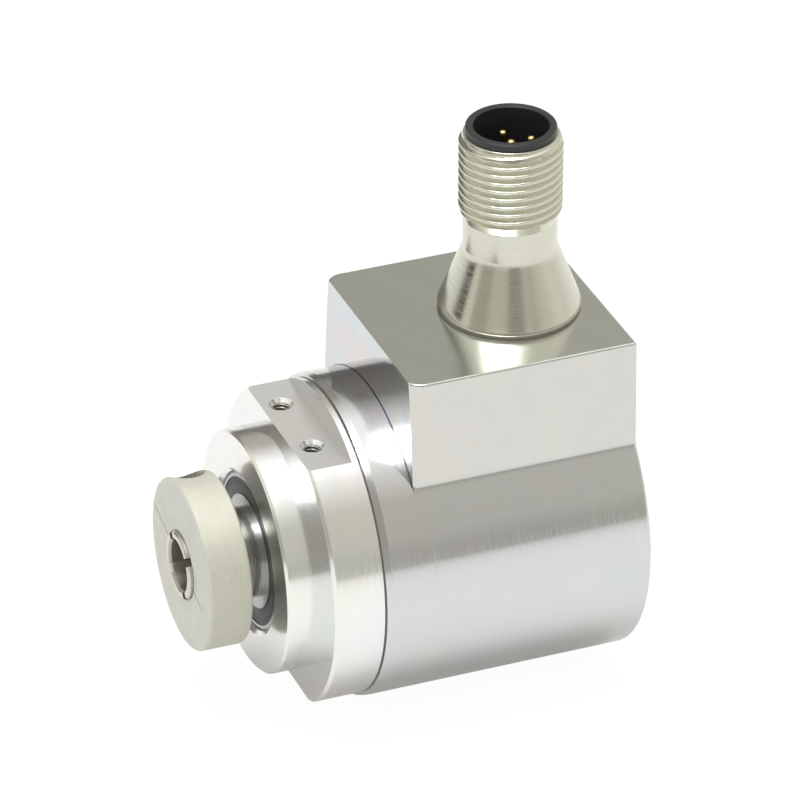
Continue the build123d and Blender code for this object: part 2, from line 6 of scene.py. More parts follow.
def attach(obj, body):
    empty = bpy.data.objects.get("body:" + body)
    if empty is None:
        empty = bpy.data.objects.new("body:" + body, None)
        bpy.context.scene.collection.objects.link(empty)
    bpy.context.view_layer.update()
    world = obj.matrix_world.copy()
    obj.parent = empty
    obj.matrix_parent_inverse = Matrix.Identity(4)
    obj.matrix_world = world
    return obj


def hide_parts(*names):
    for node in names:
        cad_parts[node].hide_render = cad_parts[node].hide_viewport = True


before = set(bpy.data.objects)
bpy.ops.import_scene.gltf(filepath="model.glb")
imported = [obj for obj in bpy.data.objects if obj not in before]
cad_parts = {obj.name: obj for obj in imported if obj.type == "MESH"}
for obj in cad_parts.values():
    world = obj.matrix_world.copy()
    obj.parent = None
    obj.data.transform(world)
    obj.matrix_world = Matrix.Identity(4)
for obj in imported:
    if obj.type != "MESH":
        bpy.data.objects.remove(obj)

# Rotary encoder in turned stainless steel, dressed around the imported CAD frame.
# Metres throughout; the shaft axis is Y, its clamp end is -Y, and the plug points up +Z.

mm = 0.001
quarterTurn = np.pi / 2
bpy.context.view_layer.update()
plugCentre = (0.0, 28.7 * mm, 0.0)  # foot of the plug's upright axis


def newNode(tree, kind, x=0, y=0, **inputs):
    node = tree.nodes.new(kind)
    node.location = (x, y)
    for name, value in inputs.items():
        node.inputs[name].default_value = value
    return node


# Maths on numbers or sockets.
def mathNode(tree, operation, a, b=None, c=None, clamp=False):
    node = tree.nodes.new("ShaderNodeMath")
    node.operation = operation
    node.use_clamp = clamp
    for slot, value in zip(node.inputs, (a, b, c)):
        if value is None:
            continue
        if isinstance(value, (int, float)):
            slot.default_value = value
        else:
            tree.links.new(value, slot)
    return node.outputs[0]


# Length of the side across from the right angle: square root of a squared plus b squared.
def hypotenuse(tree, a, b):
    squares = mathNode(tree, "ADD", mathNode(tree, "MULTIPLY", a, a), mathNode(tree, "MULTIPLY", b, b))
    return mathNode(tree, "SQRT", squares)


# Smooth step from one value to another while the input goes from fromMin to fromMax.
def mapRange(tree, value, fromMin, fromMax, toMin=0.0, toMax=1.0):
    node = tree.nodes.new("ShaderNodeMapRange")
    node.interpolation_type = "SMOOTHSTEP"
    tree.links.new(value, node.inputs["Value"])
    node.inputs["From Min"].default_value = fromMin
    node.inputs["From Max"].default_value = fromMax
    node.inputs["To Min"].default_value = toMin
    node.inputs["To Max"].default_value = toMax
    return node.outputs["Result"]


# Colour ramp from (place, colour) pairs in rising order.
def rampNode(tree, value, stops):
    node = tree.nodes.new("ShaderNodeValToRGB")
    elements = node.color_ramp.elements
    first, last = elements
    first.position, first.color = stops[0][0], (*stops[0][1], 1.0)
    last.position, last.color = stops[-1][0], (*stops[-1][1], 1.0)
    for place, colour in stops[1:-1]:
        elements.new(place).color = (*colour, 1.0)
    tree.links.new(value, node.inputs["Fac"])
    return node.outputs["Color"]


# Mix of two colours, each a triple or a socket, by a number or a socket.
def mixColour(tree, factor, a, b, blend="MIX"):
    node = tree.nodes.new("ShaderNodeMix")
    node.data_type = "RGBA"
    node.blend_type = blend
    slots = {(slot.name, slot.type): slot for slot in node.inputs}
    for slot, value in ((slots["Factor", "VALUE"], factor), (slots["A", "RGBA"], a), (slots["B", "RGBA"], b)):
        if isinstance(value, (int, float)):
            slot.default_value = value
        elif isinstance(value, tuple):
            slot.default_value = (*value, 1.0)
        else:
            tree.links.new(value, slot)
    return [slot for slot in node.outputs if slot.type == "RGBA"][0]


# X, Y and Z of a point as three sockets.
def splitPoint(tree, point):
    node = newNode(tree, "ShaderNodeSeparateXYZ")
    tree.links.new(point, node.inputs[0])
    return node.outputs


# Distance of a point from the Y axis.
def axisDistance(tree, point):
    place = splitPoint(tree, point)
    return hypotenuse(tree, place[0], place[2])


# One point out of three sockets.
def joinPoint(tree, x, y, z):
    node = newNode(tree, "ShaderNodeCombineXYZ")
    for slot, value in zip(node.inputs, (x, y, z)):
        tree.links.new(value, slot)
    return node.outputs[0]


# Noise whose scale is a number or a socket.
def noiseNode(tree, vector, scale, detail, roughness):
    node = newNode(tree, "ShaderNodeTexNoise", Detail=detail, Roughness=roughness)
    tree.links.new(vector, node.inputs["Vector"])
    if isinstance(scale, float):
        node.inputs["Scale"].default_value = scale
    else:
        tree.links.new(scale, node.inputs["Scale"])
    return node.outputs["Fac"]


# Node group with named inputs (label, kind, value) and outputs (label, kind), and its two end nodes.
def newGroup(name, inputs, outputs):
    group = bpy.data.node_groups.new(name, "ShaderNodeTree")
    for label, kind, value in inputs:
        socket = group.interface.new_socket(label, in_out="INPUT", socket_type=kind)
        if value is not None:
            socket.default_value = value
    for label, kind in outputs:
        group.interface.new_socket(label, in_out="OUTPUT", socket_type=kind)
    entry = group.nodes.new("NodeGroupInput")
    leave = group.nodes.new("NodeGroupOutput")
    return group, entry, leave


latheLook = {
    "turnShare": 0.00003, "detail": 3.0, "roughness": 0.7, "hairScale": 45000.0, "streakScale": 2600.0,
    "hairFrom": 0.45, "hairTo": 0.60,
}


# Lathe lines: rings round the Y axis, from noise read at (radius, y, a tiny share of the turn).
# Height feeds a bump, Haze is a mask of hair-fine rougher lines, and Streak drifts slowly along the axis.
def makeLatheGroup():
    look = latheLook
    group, entry, leave = newGroup(
        "latheLines",
        (("Vector", "NodeSocketVector", None), ("Fineness", "NodeSocketFloat", 9000.0)),
        (("Height", "NodeSocketFloat"), ("Haze", "NodeSocketFloat"), ("Streak", "NodeSocketFloat")),
    )
    x, along, z = splitPoint(group, entry.outputs["Vector"])
    turn = mathNode(group, "MULTIPLY", mathNode(group, "ARCTAN2", z, x), look["turnShare"])
    place = joinPoint(group, hypotenuse(group, x, z), along, turn)
    fine = noiseNode(group, place, entry.outputs["Fineness"], look["detail"], look["roughness"])
    hair = noiseNode(group, place, look["hairScale"], 1.0, 0.5)
    coarse = noiseNode(group, place, look["streakScale"], 3.0, 0.6)
    group.links.new(fine, leave.inputs["Height"])
    group.links.new(mapRange(group, hair, look["hairFrom"], look["hairTo"]), leave.inputs["Haze"])
    group.links.new(coarse, leave.inputs["Streak"])
    return group


brushLook = {
    "detail": 3.0, "roughness": 0.65, "hairScale": 16000.0, "streakScale": 400.0,
    "hairFrom": 0.45, "hairTo": 0.60,
}


# Brush lines: noise read at (Stretch * along, across, z), with along and across turned by Turn about Z.
def makeBrushGroup():
    look = brushLook
    group, entry, leave = newGroup(
        "brushLines",
        (("Vector", "NodeSocketVector", None), ("Stretch", "NodeSocketFloat", 0.03),
         ("Fineness", "NodeSocketFloat", 6000.0), ("Turn", "NodeSocketFloat", 0.6)),
        (("Height", "NodeSocketFloat"), ("Haze", "NodeSocketFloat"), ("Streak", "NodeSocketFloat")),
    )
    x, y, z = splitPoint(group, entry.outputs["Vector"])
    cosTurn = mathNode(group, "COSINE", entry.outputs["Turn"])
    sinTurn = mathNode(group, "SINE", entry.outputs["Turn"])
    along = mathNode(group, "ADD", mathNode(group, "MULTIPLY", x, cosTurn),
                     mathNode(group, "MULTIPLY", y, sinTurn))
    across = mathNode(group, "SUBTRACT", mathNode(group, "MULTIPLY", y, cosTurn),
                      mathNode(group, "MULTIPLY", x, sinTurn))
    stretched = mathNode(group, "MULTIPLY", along, entry.outputs["Stretch"])
    place = joinPoint(group, stretched, across, z)
    fine = noiseNode(group, place, entry.outputs["Fineness"], look["detail"], look["roughness"])
    hair = noiseNode(group, place, look["hairScale"], 2.0, 0.6)
    coarse = noiseNode(group, place, look["streakScale"], 2.0, 0.5)
    group.links.new(fine, leave.inputs["Height"])
    group.links.new(mapRange(group, hair, look["hairFrom"], look["hairTo"]), leave.inputs["Haze"])
    group.links.new(coarse, leave.inputs["Streak"])
    return group


tintStops = [
    (0.30, (1.0, 0.93, 0.88)), (0.42, (0.96, 0.90, 0.95)), (0.52, (0.88, 0.94, 1.0)),
    (0.62, (0.93, 1.0, 0.96)), (0.74, (1.0, 0.97, 0.88)),
]


# Faint drift of tint over a metal, from warm through neutral to cool.
def makeTintGroup():
    group, entry, leave = newGroup(
        "tintDrift",
        (("Vector", "NodeSocketVector", None), ("Size", "NodeSocketFloat", 90.0),
         ("Strength", "NodeSocketFloat", 0.3), ("Base", "NodeSocketColor", (0.7, 0.7, 0.7, 1.0))),
        (("Color", "NodeSocketColor"),),
    )
    drift = noiseNode(group, entry.outputs["Vector"], entry.outputs["Size"], 2.0, 0.5)
    tint = rampNode(group, drift, tintStops)
    faded = mixColour(group, entry.outputs["Strength"], (1.0, 1.0, 1.0), tint)
    result = mixColour(group, 1.0, entry.outputs["Base"], faded, "MULTIPLY")
    group.links.new(result, leave.inputs["Color"])
    return group


# Small pits and handling marks: the mask is 8 * (noise - (0.85 - half of Amount)), held between 0 and 1.
def makeMarkGroup():
    group, entry, leave = newGroup(
        "handlingMarks",
        (("Vector", "NodeSocketVector", None), ("Size", "NodeSocketFloat", 1500.0),
         ("Amount", "NodeSocketFloat", 0.35)),
        (("Mask", "NodeSocketFloat"),),
    )
    noise = noiseNode(group, entry.outputs["Vector"], entry.outputs["Size"], 6.0, 0.7)
    high = mathNode(group, "SUBTRACT", 0.85, mathNode(group, "MULTIPLY", entry.outputs["Amount"], 0.5))
    over = mathNode(group, "SUBTRACT", noise, high)
    group.links.new(mathNode(group, "MULTIPLY", over, 8.0, clamp=True), leave.inputs["Mask"])
    return group


# Fine grain for a bump and for roughness, and slow patches of drift for the colour.
def makeGrainGroup():
    group, entry, leave = newGroup(
        "fineGrain",
        (("Vector", "NodeSocketVector", None), ("Grain", "NodeSocketFloat", 3000.0)),
        (("Height", "NodeSocketFloat"), ("Drift", "NodeSocketFloat")),
    )
    fine = noiseNode(group, entry.outputs["Vector"], entry.outputs["Grain"], 5.0, 0.6)
    patches = noiseNode(group, entry.outputs["Vector"], 250.0, 3.0, 0.5)
    group.links.new(fine, leave.inputs["Height"])
    group.links.new(patches, leave.inputs["Drift"])
    return group


# Painted glow in the narrow seam behind the flange, from Low to High in y: an emission standing in for light
# caught between its polished walls.
def makeSeamGlowGroup():
    group, entry, leave = newGroup(
        "seamPaintedGlow",
        (("Vector", "NodeSocketVector", None), ("Low", "NodeSocketFloat", 0.0),
         ("High", "NodeSocketFloat", 0.0), ("Light", "NodeSocketColor", (0.0, 0.0, 0.0, 1.0))),
        (("Color", "NodeSocketColor"),),
    )
    y = splitPoint(group, entry.outputs["Vector"])[1]
    past = mathNode(group, "GREATER_THAN", y, entry.outputs["Low"])
    before = mathNode(group, "LESS_THAN", y, entry.outputs["High"])
    inSeam = mathNode(group, "MULTIPLY", past, before)
    light = mixColour(group, inSeam, (0.0, 0.0, 0.0), entry.outputs["Light"])
    group.links.new(light, leave.inputs["Color"])
    return group


latheGroup = makeLatheGroup()
brushGroup = makeBrushGroup()
tintGroup = makeTintGroup()
markGroup = makeMarkGroup()
grainGroup = makeGrainGroup()
seamGlowGroup = makeSeamGlowGroup()
print("finishing groups made")


def useGroup(tree, group, vector, **values):
    node = tree.nodes.new("ShaderNodeGroup")
    node.node_tree = group
    tree.links.new(vector, node.inputs["Vector"])
    for name, value in values.items():
        node.inputs[name].default_value = value
    return node.outputs


def newMaterial(name):
    material = bpy.data.materials.new(name)
    material.use_nodes = True
    tree = material.node_tree
    tree.nodes.clear()
    shader = newNode(tree, "ShaderNodeBsdfPrincipled", 600)
    output = newNode(tree, "ShaderNodeOutputMaterial", 900)
    tree.links.new(shader.outputs["BSDF"], output.inputs["Surface"])
    coords = newNode(tree, "ShaderNodeTexCoord", -900)
    return material, tree, shader, coords.outputs["Object"]


# Coordinates about the plug's upright axis, laid over so that this axis is Y.
def plugCoords(tree, coords):
    centred = newNode(tree, "ShaderNodeVectorMath", -800)
    centred.operation = "SUBTRACT"
    centred.inputs[1].default_value = plugCentre
    tree.links.new(coords, centred.inputs[0])
    turned = newNode(tree, "ShaderNodeMapping", -700, Rotation=(quarterTurn, 0, 0))
    turned.vector_type = "POINT"
    tree.links.new(centred.outputs[0], turned.inputs["Vector"])
    return turned.outputs["Vector"]


def addBump(tree, shader, height, strength, distance):
    bump = newNode(tree, "ShaderNodeBump", 350, -300, Strength=strength, Distance=distance)
    tree.links.new(height, bump.inputs["Height"])
    tree.links.new(bump.outputs["Normal"], shader.inputs["Normal"])


# Painted glow: a faint emission inside the seam, standing in for light caught between its walls.
def paintSeamGlow(tree, shader, coords, seam):
    light = (*seam["light"], 1.0)
    glow = useGroup(tree, seamGlowGroup, coords, Low=seam["low"], High=seam["high"], Light=light)
    tree.links.new(glow["Color"], shader.inputs["Emission Color"])
    shader.inputs["Emission Strength"].default_value = 1.0


turnedLook = {
    "tintSize": 90.0, "marks": 0.3, "markRoughness": 0.10, "streakColour": (0.35, 0.35, 0.34),
    "flatBand": 0.02 * mm, "bumpDistance": 0.01 * mm,
}


# Metal turned in a lathe about the shaft axis, or about the plug's upright axis.
# Hair-fine lines of a rougher finish lie over a near mirror, so reflections stay crisp but hazy:
# roughness = rough + haze * hair lines + a little on handling marks, and more where milled or bored.
def turnedMetal(name, colour, rough=0.10, haze=0.35, bump=0.2, fineness=12000.0, upright=False,
                tint=0.25, streak=0.10, milled=None, bored=None, seam=None):
    look = turnedLook
    material, tree, shader, coords = newMaterial(name)
    placed = plugCoords(tree, coords) if upright else coords
    lines = useGroup(tree, latheGroup, placed, Fineness=fineness)
    drift = useGroup(tree, tintGroup, coords, Size=look["tintSize"], Strength=tint, Base=(*colour, 1.0))
    spots = useGroup(tree, markGroup, coords, Amount=look["marks"])
    darkened = mathNode(tree, "MULTIPLY", lines["Streak"], streak)
    streaked = mixColour(tree, darkened, drift["Color"], look["streakColour"], "MULTIPLY")
    shader.inputs["Metallic"].default_value = 1.0
    hazy = mathNode(tree, "MULTIPLY", lines["Haze"], haze)
    marked = mathNode(tree, "MULTIPLY", spots["Mask"], look["markRoughness"])
    roughness = mathNode(tree, "ADD", mathNode(tree, "ADD", hazy, marked), rough)
    if milled:
        # flats at one height above and below the axis are duller
        z = splitPoint(tree, coords)[2]
        offset = mathNode(tree, "SUBTRACT", mathNode(tree, "ABSOLUTE", z), milled["height"])
        onFlat = mathNode(tree, "LESS_THAN", mathNode(tree, "ABSOLUTE", offset), look["flatBand"])
        roughness = mathNode(tree, "ADD", roughness, mathNode(tree, "MULTIPLY", onFlat, milled["rougher"]))
    if bored:
        # the bore inside this radius is satin, and its colour is darker: painted shade of the tube's dark
        # inside
        inBore = mathNode(tree, "LESS_THAN", axisDistance(tree, coords), bored["radius"])
        roughness = mathNode(tree, "ADD", roughness, mathNode(tree, "MULTIPLY", inBore, bored["rougher"]))
        streaked = mixColour(tree, inBore, streaked, bored["colour"])
    # painted glow in the seam behind the flange
    if seam:
        paintSeamGlow(tree, shader, coords, seam)
    tree.links.new(streaked, shader.inputs["Base Color"])
    tree.links.new(roughness, shader.inputs["Roughness"])
    addBump(tree, shader, lines["Height"], bump, look["bumpDistance"])
    return material


plainLook = {"roughSpread": 0.06, "bumpDistance": 0.02 * mm}


# Even finish with fine grain: colour and roughness swing a little about their values.
def plainFinish(name, colour, rough, metallic=0.0, grain=3000.0, bump=0.2, drift=0.1):
    material, tree, shader, coords = newMaterial(name)
    grains, patches = useGroup(tree, grainGroup, coords, Grain=grain)
    darker = tuple(part * (1.0 - drift) for part in colour)
    lighter = tuple(min(1.0, part * (1.0 + drift)) for part in colour)
    tree.links.new(mixColour(tree, patches, darker, lighter), shader.inputs["Base Color"])
    shader.inputs["Metallic"].default_value = metallic
    smoother, rougher = rough - plainLook["roughSpread"], rough + plainLook["roughSpread"]
    tree.links.new(mapRange(tree, grains, 0.3, 0.7, smoother, rougher), shader.inputs["Roughness"])
    addBump(tree, shader, grains, bump, plainLook["bumpDistance"])
    return material


ringLook = {
    "rimColour": (0.600, 0.600, 0.520), "paintedLitFaceColour": (0.650, 0.650, 0.600), "frontY": -12.0 * mm,
    "edgeFrom": 0.05 * mm, "edgeTo": 0.35 * mm, "rough": 0.60, "roughSpread": 0.06, "metallic": 0.35,
    "speckleScale": 3600.0, "patchScale": 300.0, "speckleShare": 0.7, "drift": 0.07,
    "grain": 9000.0, "bump": 0.7, "bumpDistance": 0.03 * mm,
}


# The clamp ring's blasted steel: a finely speckled rim, and a front face painted slightly lighter and cooler,
# as if lit by a cooler light.
# Its colour is multiplied by 1 - drift to 1 + drift, from a share of fine speckle and the rest of patches.
def blastedRing():
    look = ringLook
    material, tree, shader, coords = newMaterial("blastedSteel")
    y = splitPoint(tree, coords)[1]
    onRim = mapRange(tree, y, look["frontY"] + look["edgeFrom"], look["frontY"] + look["edgeTo"])
    # painted light: the front face gets a lighter, cooler colour than the rim
    colour = mixColour(tree, onRim, look["paintedLitFaceColour"], look["rimColour"])
    speckles = noiseNode(tree, coords, look["speckleScale"], 4.0, 0.7)
    patches = noiseNode(tree, coords, look["patchScale"], 3.0, 0.5)
    spread = mathNode(tree, "ADD", mathNode(tree, "MULTIPLY", speckles, look["speckleShare"]),
                      mathNode(tree, "MULTIPLY", patches, 1.0 - look["speckleShare"]))
    shift = mapRange(tree, spread, 0.35, 0.65, 1.0 - look["drift"], 1.0 + look["drift"])
    shade = newNode(tree, "ShaderNodeCombineColor")
    for channel in range(3):
        tree.links.new(shift, shade.inputs[channel])
    tree.links.new(mixColour(tree, 1.0, colour, shade.outputs[0], "MULTIPLY"), shader.inputs["Base Color"])
    shader.inputs["Metallic"].default_value = look["metallic"]
    smoother, rougher = look["rough"] - look["roughSpread"], look["rough"] + look["roughSpread"]
    tree.links.new(mapRange(tree, speckles, 0.3, 0.7, smoother, rougher), shader.inputs["Roughness"])
    fine = useGroup(tree, grainGroup, coords, Grain=look["grain"])
    addBump(tree, shader, fine["Height"], look["bump"], look["bumpDistance"])
    return material


sealLook = {
    "colour": (0.085, 0.087, 0.092), "lipColour": (0.20, 0.20, 0.21), "grooveShadeColour": (0.03, 0.03, 0.032),
    "lipRadius": 6.55 * mm, "lipFade": 0.10 * mm, "grooveFrom": 7.83 * mm, "grooveTo": 8.00 * mm,
    "rough": 0.42, "grain": 5000.0, "bump": 0.3, "bumpDistance": 0.02 * mm,
}


# The bearing seal's rubber: a paler lip inside, a plain web, and painted shade at its outer edge, a
# near-black ring where the groove lies in shade.
def sealRubber():
    look = sealLook
    material, tree, shader, coords = newMaterial("sealRubber")
    radius = axisDistance(tree, coords)
    lipFrom, lipTo = look["lipRadius"] - look["lipFade"], look["lipRadius"] + look["lipFade"]
    onLip = mapRange(tree, radius, lipFrom, lipTo, 1.0, 0.0)
    # painted shade: near-black ring in the groove at the seal's outer edge
    inGrooveShade = mapRange(tree, radius, look["grooveFrom"], look["grooveTo"])
    colour = mixColour(tree, onLip, look["colour"], look["lipColour"])
    tree.links.new(mixColour(tree, inGrooveShade, colour, look["grooveShadeColour"]), shader.inputs["Base Color"])
    shader.inputs["Roughness"].default_value = look["rough"]
    fine = useGroup(tree, grainGroup, coords, Grain=look["grain"])
    addBump(tree, shader, fine["Height"], look["bump"], look["bumpDistance"])
    return material


# the flange's rear face is at y 6.0 mm and the pot's front edge at 6.15 mm; the painted glow lights the slot
# between them
flangeSeamGlow = {"low": 5.98 * mm, "high": 6.16 * mm, "light": (0.034, 0.033, 0.032)}
potSeamGlow = {"low": 6.0 * mm, "high": 6.17 * mm, "light": (0.034, 0.033, 0.032)}

housingLook = {
    "pot": {"colour": (0.685, 0.69, 0.695), "rough": 0.07, "tintSize": 75.0, "tint": 0.30},
    "block": {"colour": (0.665, 0.665, 0.635), "rough": 0.12, "tintSize": 110.0, "tint": 0.22},
    "front": {"colour": (0.685, 0.69, 0.695), "rough": 0.05, "tintSize": 230.0, "tint": 0.9},
    "top": {"colour": (0.675, 0.685, 0.655), "rough": 0.17},
    "potRadius": 19.22 * mm, "frontY": 11.2 * mm, "topHeight": 26.2 * mm,
    "cornerRadius": 19.2 * mm, "cornerLow": 13.2 * mm, "cornerShadeColour": (0.10, 0.10, 0.11), "cornerShadeShare": 0.8,
    "latheFineness": 12000.0, "brushFineness": 9000.0, "brushStretch": 0.02, "brushTurn": 0.55,
    "haze": 0.16, "frontHazeLess": 0.7, "topShare": 0.25, "streak": 0.10, "bump": 0.15,
}


# The housing's material: lathe lines on the pot and on the block's faced front, brush lines on its sides,
# an olive tinge on its top, painted shade along the corner where the front meets the turned strip, and a
# painted glow in the seam.
def housingSteel():
    look = housingLook
    material, tree, shader, coords = newMaterial("housingSteel")
    pot, block, front, top = (look[part] for part in ("pot", "block", "front", "top"))
    lathe = useGroup(tree, latheGroup, coords, Fineness=look["latheFineness"])
    brush = useGroup(tree, brushGroup, coords, Stretch=look["brushStretch"],
                     Fineness=look["brushFineness"], Turn=look["brushTurn"])
    x, y, z = splitPoint(tree, coords)
    radius = hypotenuse(tree, x, z)
    offPot = mapRange(tree, radius, look["potRadius"], look["potRadius"] + 0.3 * mm)
    pastFront = mapRange(tree, y, look["frontY"] + 0.03 * mm, look["frontY"] + 0.12 * mm)
    onFront = mathNode(tree, "MULTIPLY", offPot, mathNode(tree, "SUBTRACT", 1.0, pastFront))
    onBlock = mathNode(tree, "MULTIPLY", offPot, pastFront)
    turned = mathNode(tree, "SUBTRACT", 1.0, onBlock)
    onTop = mapRange(tree, z, look["topHeight"], look["topHeight"] + 0.08 * mm)
    # distance from the circle where the front face meets the turned strip
    fromPot = mathNode(tree, "SUBTRACT", radius, look["cornerRadius"])
    fromFront = mathNode(tree, "SUBTRACT", y, look["frontY"])
    nearCorner = mapRange(tree, hypotenuse(tree, fromPot, fromFront), 0.05 * mm, 0.15 * mm, 1.0, 0.0)
    # painted shade: a dark line along the inner corner, where the small step there would be shaded
    cornerShadeLine = mathNode(tree, "MULTIPLY", nearCorner,
                          mathNode(tree, "GREATER_THAN", z, look["cornerLow"]))

    def byPart(name):
        return mathNode(tree, "ADD", mathNode(tree, "MULTIPLY", lathe[name], turned),
                        mathNode(tree, "MULTIPLY", brush[name], onBlock))

    def tinted(part):
        return useGroup(tree, tintGroup, coords, Size=part["tintSize"], Strength=part["tint"],
                        Base=(*part["colour"], 1.0))["Color"]

    calmer = mathNode(tree, "MULTIPLY_ADD", onTop, look["topShare"] - 1.0, 1.0)
    colour = mixColour(tree, onBlock, tinted(pot), tinted(block))
    colour = mixColour(tree, onFront, colour, tinted(front))
    colour = mixColour(tree, onTop, colour, top["colour"])
    streaks = mathNode(tree, "MULTIPLY", byPart("Streak"), look["streak"])
    colour = mixColour(tree, streaks, colour, turnedLook["streakColour"], "MULTIPLY")
    # darken the colour along the corner with the painted shade
    cornerShade = mathNode(tree, "MULTIPLY", cornerShadeLine, look["cornerShadeShare"])
    tree.links.new(mixColour(tree, cornerShade, colour, look["cornerShadeColour"]), shader.inputs["Base Color"])
    shader.inputs["Metallic"].default_value = 1.0
    base = mathNode(tree, "MULTIPLY_ADD", onBlock, block["rough"] - pot["rough"], pot["rough"])
    base = mathNode(tree, "MULTIPLY_ADD", onFront, front["rough"] - pot["rough"], base)
    base = mathNode(tree, "MULTIPLY_ADD", onTop, top["rough"] - block["rough"], base)
    hazy = mathNode(tree, "MULTIPLY", mathNode(tree, "MULTIPLY", byPart("Haze"), look["haze"]), calmer)
    frontShare = mathNode(tree, "MULTIPLY_ADD", onFront, -look["frontHazeLess"], 1.0)
    rough = mathNode(tree, "ADD", base, mathNode(tree, "MULTIPLY", hazy, frontShare))
    spots = useGroup(tree, markGroup, coords, Amount=turnedLook["marks"])
    marked = mathNode(tree, "MULTIPLY", spots["Mask"], turnedLook["markRoughness"])
    tree.links.new(mathNode(tree, "ADD", rough, marked), shader.inputs["Roughness"])
    height = mathNode(tree, "MULTIPLY", byPart("Height"), calmer)
    addBump(tree, shader, height, look["bump"], turnedLook["bumpDistance"])
    # painted glow in the seam in front of the pot
    paintSeamGlow(tree, shader, coords, potSeamGlow)
    return material


materials = {
    "housing": housingSteel(),
    "flange": turnedMetal("flangeSteel", (0.86, 0.86, 0.845), rough=0.10, haze=0.17, bump=0.03, streak=0.04,
                          tint=0.30, milled={"height": 15.7 * mm, "rougher": 0.25}, seam=flangeSeamGlow),
    "ring": blastedRing(),
    # the shaft's darker bore colour is painted shade inside the tube
    "shaft": turnedMetal("shaftSteel", (0.62, 0.60, 0.56), rough=0.20, haze=0.12, bump=0.02, streak=0.03,
                         bored={"radius": 3.25 * mm, "rougher": 0.20, "colour": (0.48, 0.47, 0.43)}),
    "bearing": turnedMetal("bearingSteel", (0.42, 0.42, 0.42), rough=0.14, haze=0.15, bump=0.02),
    "ball": plainFinish("ballSteel", (0.78, 0.78, 0.80), 0.1, 1.0, 2000.0, 0.02),
    "seal": sealRubber(),
    "oRing": plainFinish("blackRubber", (0.06, 0.06, 0.065), 0.5, 0.0, 5000.0, 0.3),
    "gasket": plainFinish("greyGasket", (0.42, 0.40, 0.37), 0.45, 0.0, 5000.0, 0.2),
    "spring": plainFinish("springSteel", (0.55, 0.55, 0.57), 0.25, 1.0, 3000.0, 0.1),
    "magnet": plainFinish("magnetNickel", (0.35, 0.35, 0.37), 0.4, 0.9, 4000.0, 0.3),
    "aluminium": turnedMetal("turnedAluminium", (0.80, 0.80, 0.81), rough=0.2),
    "screw": plainFinish("screwSteel", (0.45, 0.44, 0.43), 0.22, 1.0, 3000.0, 0.1),
    "board": plainFinish("boardGreen", (0.02, 0.18, 0.07), 0.35, 0.0, 3000.0, 0.1),
    "chip": plainFinish("chipBlack", (0.02, 0.02, 0.022), 0.5, 0.0, 6000.0, 0.3),
    "connector": plainFinish("connectorWhite", (0.80, 0.78, 0.70), 0.45, 0.0, 2500.0, 0.1),
    "wire": plainFinish("wireSheath", (0.25, 0.16, 0.10), 0.5, 0.0, 2500.0, 0.1),
    "plug": turnedMetal("plugNickel", (0.690, 0.687, 0.590), rough=0.12, upright=True, haze=0.17, bump=0.22,
                        fineness=14000.0, tint=0.14, streak=0.14),
    "insert": plainFinish("insertBlack", (0.022, 0.023, 0.025), 0.42, 0.0, 4000.0, 0.2),
    "gold": plainFinish("contactGold", (0.86, 0.64, 0.26), 0.2, 1.0, 3000.0, 0.1),
    "tap": turnedMetal("tapSteel", (0.42, 0.41, 0.38), rough=0.2, haze=0.3, bump=0.1),
}

nodeFinish = {
    "housing": "housing", "bearing_flange": "flange", "housing_o_ring": "oRing", "bearing_spring": "spring",
    "front_outer_ring": "bearing", "rear_outer_ring": "bearing", "front_inner_ring": "bearing",
    "rear_inner_ring": "bearing", "front_bearing_seals": "seal", "rear_bearing_seals": "seal",
    "front_balls": "ball", "rear_balls": "ball", "front_ball_cage": "spring", "rear_ball_cage": "spring",
    "board_posts": "aluminium", "board_spacers": "aluminium", "magnet_holder": "aluminium",
    "sensor_board": "board", "logic_board": "board", "sensor_chip": "chip", "processor": "chip",
    "board_link": "chip", "board_screws": "screw", "wire_connector": "connector", "plug_wires": "wire",
    "plug_gasket": "gasket", "plug_body": "plug", "plug_insert": "insert", "plug_contacts": "gold",
    "hollow_shaft": "shaft", "inner_spacer": "shaft", "clamp_ring": "ring", "clamp_screw": "screw",
    "shaft_clip": "spring", "magnet": "magnet",
}
for nodeName, finish in nodeFinish.items():
    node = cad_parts[nodeName]
    node.data.materials.clear()
    node.data.materials.append(materials[finish])
print("materials set on", len(nodeFinish), "CAD nodes")


# Mesh from a grid of points, shape (rows, columns, 3), closed round both its columns and its rows.
def ringMesh(name, points):
    rows, columns = points.shape[:2]
    index = np.arange(rows * columns).reshape(rows, columns)
    nextColumn = np.roll(index, -1, axis=1)
    nextRow = np.roll(index, -1, axis=0)
    nextBoth = np.roll(nextColumn, -1, axis=0)
    quads = np.stack([index, nextColumn, nextBoth, nextRow], axis=-1).reshape(-1, 4)
    mesh = bpy.data.meshes.new(name)
    mesh.from_pydata(points.reshape(-1, 3), [], quads)
    mesh.polygons.foreach_set("use_smooth", np.ones(len(quads), bool))
    mesh.update()
    return addObject(name, mesh)


def addObject(name, data):
    thing = bpy.data.objects.new(name, data)
    bpy.context.scene.collection.objects.link(thing)
    return thing


# Share of the thread's depth at a phase from 0 to 1 along one pitch: 0 on the crest, 1 in the root.
# With t = |2 * phase - 1|, ramp = (crest - t) / (crest - root), held between 0 and 1, and the depth is
# half of (1 - cosine of pi * ramp), so crest and root are rounded.
def threadDepth(phase, crest, root):
    t = np.abs(2.0 * (phase % 1.0) - 1.0)
    ramp = np.clip((crest - t) / (crest - root), 0.0, 1.0)
    return 0.5 - 0.5 * np.cos(np.pi * ramp)


# Phase of a thread at a height, one turn further round for each pitch.
def threadPhase(height, pitch, turn):
    return height[:, None] / pitch - turn[None, :] / (2 * np.pi)


